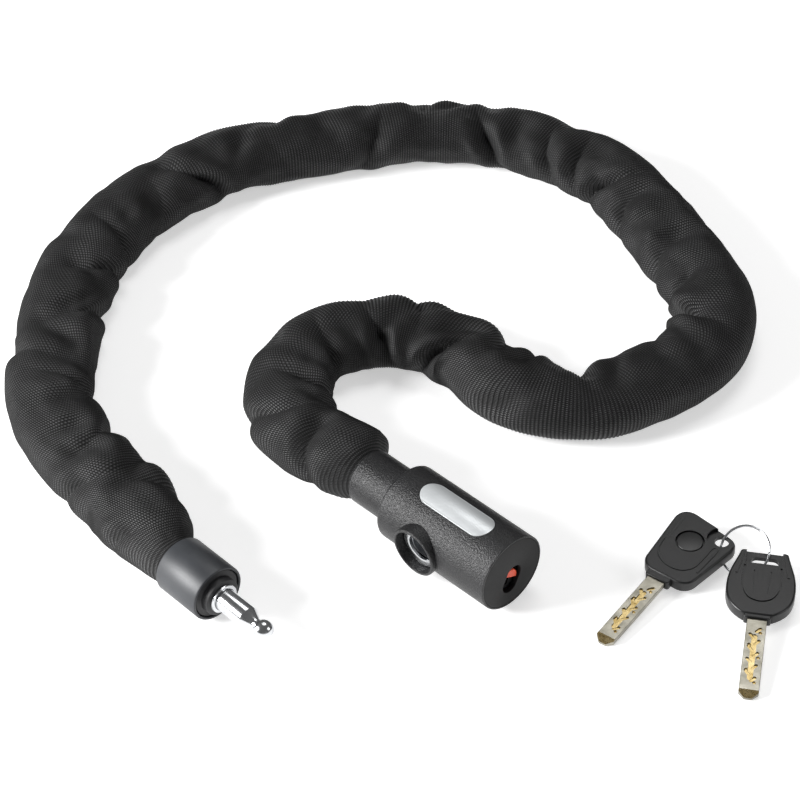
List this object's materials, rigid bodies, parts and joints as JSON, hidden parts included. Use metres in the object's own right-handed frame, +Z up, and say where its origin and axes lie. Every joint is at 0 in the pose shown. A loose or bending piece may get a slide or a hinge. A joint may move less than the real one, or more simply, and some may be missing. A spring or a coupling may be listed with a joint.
{
  "type": "chain lock",
  "caption": "Cylinder lock body with a steel link chain in a woven sleeve, a locking pin that plugs into its side, and two keys on a ring.",
  "frame": {"origin": "on the surface the lock lies on, under the middle of the whole laid-out object", "axes": "+Z up; +X to the right and +Y away from someone standing on the side of the lock body and the keys; the chain's loop lies along +Y"},
  "size_m": [0.3328, 0.3933, 0.034],
  "materials": {
    "black_paint": "satin black, finely textured",
    "black_plastic": "satin black",
    "grey_ferrule": "satin blue-grey",
    "steel": "zinc-plated",
    "bright_steel": "polished",
    "brass": "machined",
    "nickel": "nickel-plated, milled",
    "label_silver": "satin silver",
    "red_plastic": "satin red",
    "black_weave": "woven nylon"
  },
  "bodies": {
    "lock": {"lock_shell": "black_paint", "socket_liner": "steel", "label_plate": "label_silver", "end_cap": "black_plastic", "lock_core": "steel", "cylinder_body": "brass", "driver_pin_1": "steel", "driver_pin_2": "steel", "neck_collar": "black_paint", "anchor_pin": "steel", "chain_link_01": "steel", "chain_link_02": "steel", "chain_link_03": "steel", "chain_link_04": "steel", "chain_link_05": "steel", "chain_link_06": "steel", "sleeve_1": "black_weave"},
    "latch": {"latch": "steel"},
    "plug": {"plug": "brass", "drive_cam": "steel", "key_pin_1": "brass", "key_pin_2": "brass"},
    "shutter": {"shutter_flap": "red_plastic"},
    "chain_near": {"chain_link_07": "steel", "chain_link_08": "steel", "chain_link_09": "steel", "chain_link_10": "steel", "chain_link_11": "steel", "chain_link_12": "steel", "chain_link_13": "steel", "chain_link_14": "steel", "chain_link_15": "steel", "sleeve_2": "black_weave"},
    "chain_middle": {"chain_link_16": "steel", "chain_link_17": "steel", "chain_link_18": "steel", "chain_link_19": "steel", "chain_link_20": "steel", "chain_link_21": "steel", "chain_link_22": "steel", "chain_link_23": "steel", "chain_link_24": "steel", "sleeve_3": "black_weave"},
    "chain_end": {"chain_link_25": "steel", "chain_link_26": "steel", "chain_link_27": "steel", "chain_link_28": "steel", "chain_link_29": "steel", "sleeve_4": "black_weave", "ferrule": "grey_ferrule", "ferrule_collar": "black_plastic", "pin_washer": "bright_steel", "locking_pin": "bright_steel", "ferrule_pin": "steel"},
    "key_ring": {"key_ring": "bright_steel"},
    "key_1": {"key_1_head": "black_plastic", "key_1_disc": "black_plastic", "key_1_blade": "nickel"},
    "key_2": {"key_2_head": "black_plastic", "key_2_blade": "nickel"}
  },
  "joints": [
    {"name": "plug_turn", "type": "hinge", "parent": "lock", "child": "plug", "pos_m": [0.03933, -0.13214, 0.01341], "axis": [-0.7022, 0.712, 0], "range_deg": [0, 90]},
    {"name": "latch_slide", "type": "slide", "parent": "lock", "child": "latch", "axis": [0.0645, 0.0636, -0.9959], "range_m": [0, 0.0051]},
    {"name": "shutter_swing", "type": "hinge", "parent": "plug", "child": "shutter", "pos_m": [0.04774, -0.13803, 0.0173], "axis": [0.6427, 0.6338, -0.4305], "range_deg": [0, 80], "stiffness_Nm_per_rad": 0.0003, "springref_deg": -17.19},
    {"name": "chain_bend_1", "type": "hinge", "parent": "lock", "child": "chain_near", "pos_m": [0.04059, -0.00564, 0.0093], "axis": [0, 0, 1], "range_deg": [-18, 18]},
    {"name": "chain_bend_2", "type": "hinge", "parent": "chain_near", "child": "chain_middle", "pos_m": [0.06399, 0.17082, 0.0093], "axis": [0, 0, -1], "range_deg": [-15, 18]},
    {"name": "chain_bend_3", "type": "hinge", "parent": "chain_middle", "child": "chain_end", "pos_m": [-0.14896, 0.01326, 0.0093], "axis": [0, 0, 1], "range_deg": [-15, 15]},
    {"name": "key_ring_lift", "type": "slide", "parent": "lock", "child": "key_ring", "axis": [0, 0, 1], "range_m": [0, 0.06]},
    {"name": "key_1_on_ring", "type": "hinge", "parent": "key_ring", "child": "key_1", "pos_m": [0.1453, -0.1187, 0.00734], "axis": [-0.3895, -0.5113, 0.766], "range_deg": [-20, 0]},
    {"name": "key_2_on_ring", "type": "hinge", "parent": "key_ring", "child": "key_2", "pos_m": [0.1453, -0.1187, 0.00734], "axis": [-0.3895, -0.5113, 0.766], "range_deg": [0, 20]}
  ],
  "couplings": [
    {"joint": "latch_slide", "follows": "plug_turn", "m_per_rad": 0.0031831}
  ]
}
